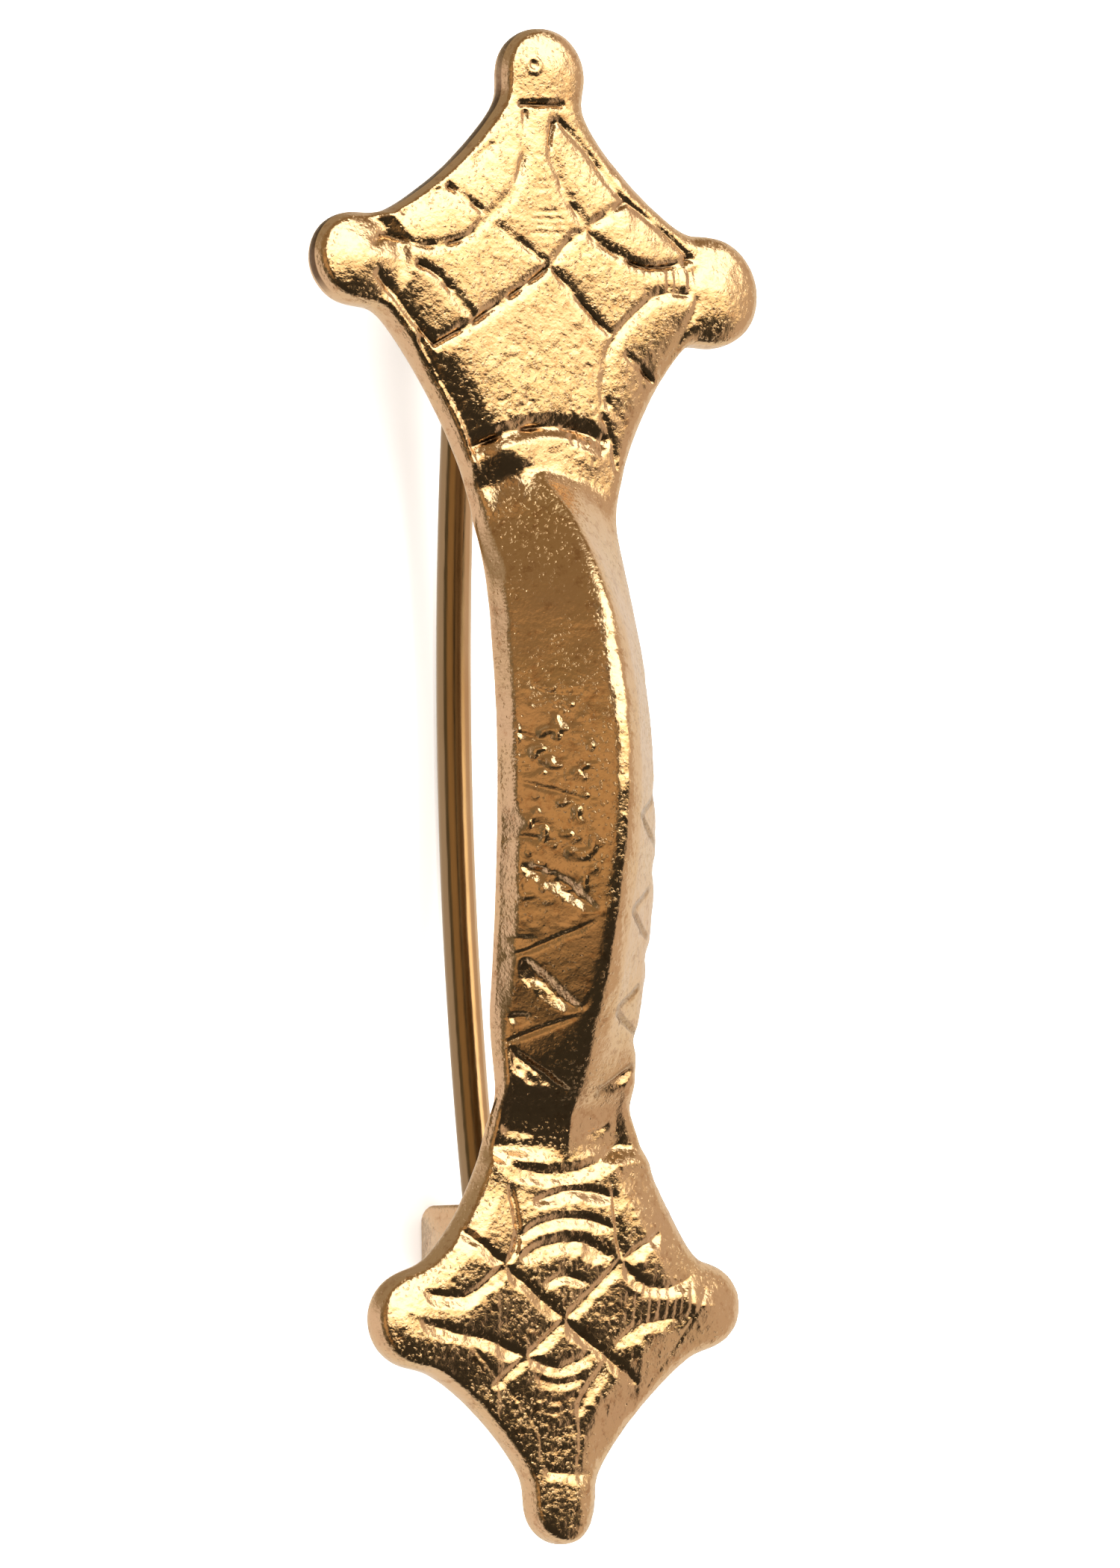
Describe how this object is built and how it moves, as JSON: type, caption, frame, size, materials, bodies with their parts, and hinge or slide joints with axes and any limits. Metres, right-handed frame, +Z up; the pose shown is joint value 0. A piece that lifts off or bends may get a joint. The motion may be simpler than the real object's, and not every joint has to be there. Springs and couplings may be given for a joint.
{
  "type": "bow fibula brooch",
  "caption": "Cast bronze bow fibula with two lozenge plates, round corner knobs, a carved arched bow and a hinged brass pin.",
  "frame": {"origin": "on the ground under the middle of the brooch, which lies on its back", "axes": "+Z up and out of the carved face, +Y along the bow towards the hinge end, +X to the right seen on the face"},
  "size_m": [0.0219, 0.0653, 0.0159],
  "materials": {
    "cast_bronze": "polished bronze casting",
    "drawn_brass": "smooth drawn wire"
  },
  "bodies": {
    "casting": {"brooch": "cast_bronze", "rivet": "drawn_brass"},
    "pin": {"pin": "drawn_brass"}
  },
  "joints": [
    {"name": "pin_hinge", "type": "hinge", "parent": "casting", "child": "pin", "pos_m": [0, 0.0238, 0.00456], "axis": [1, 0, 0], "range_deg": [0, 110]}
  ]
}
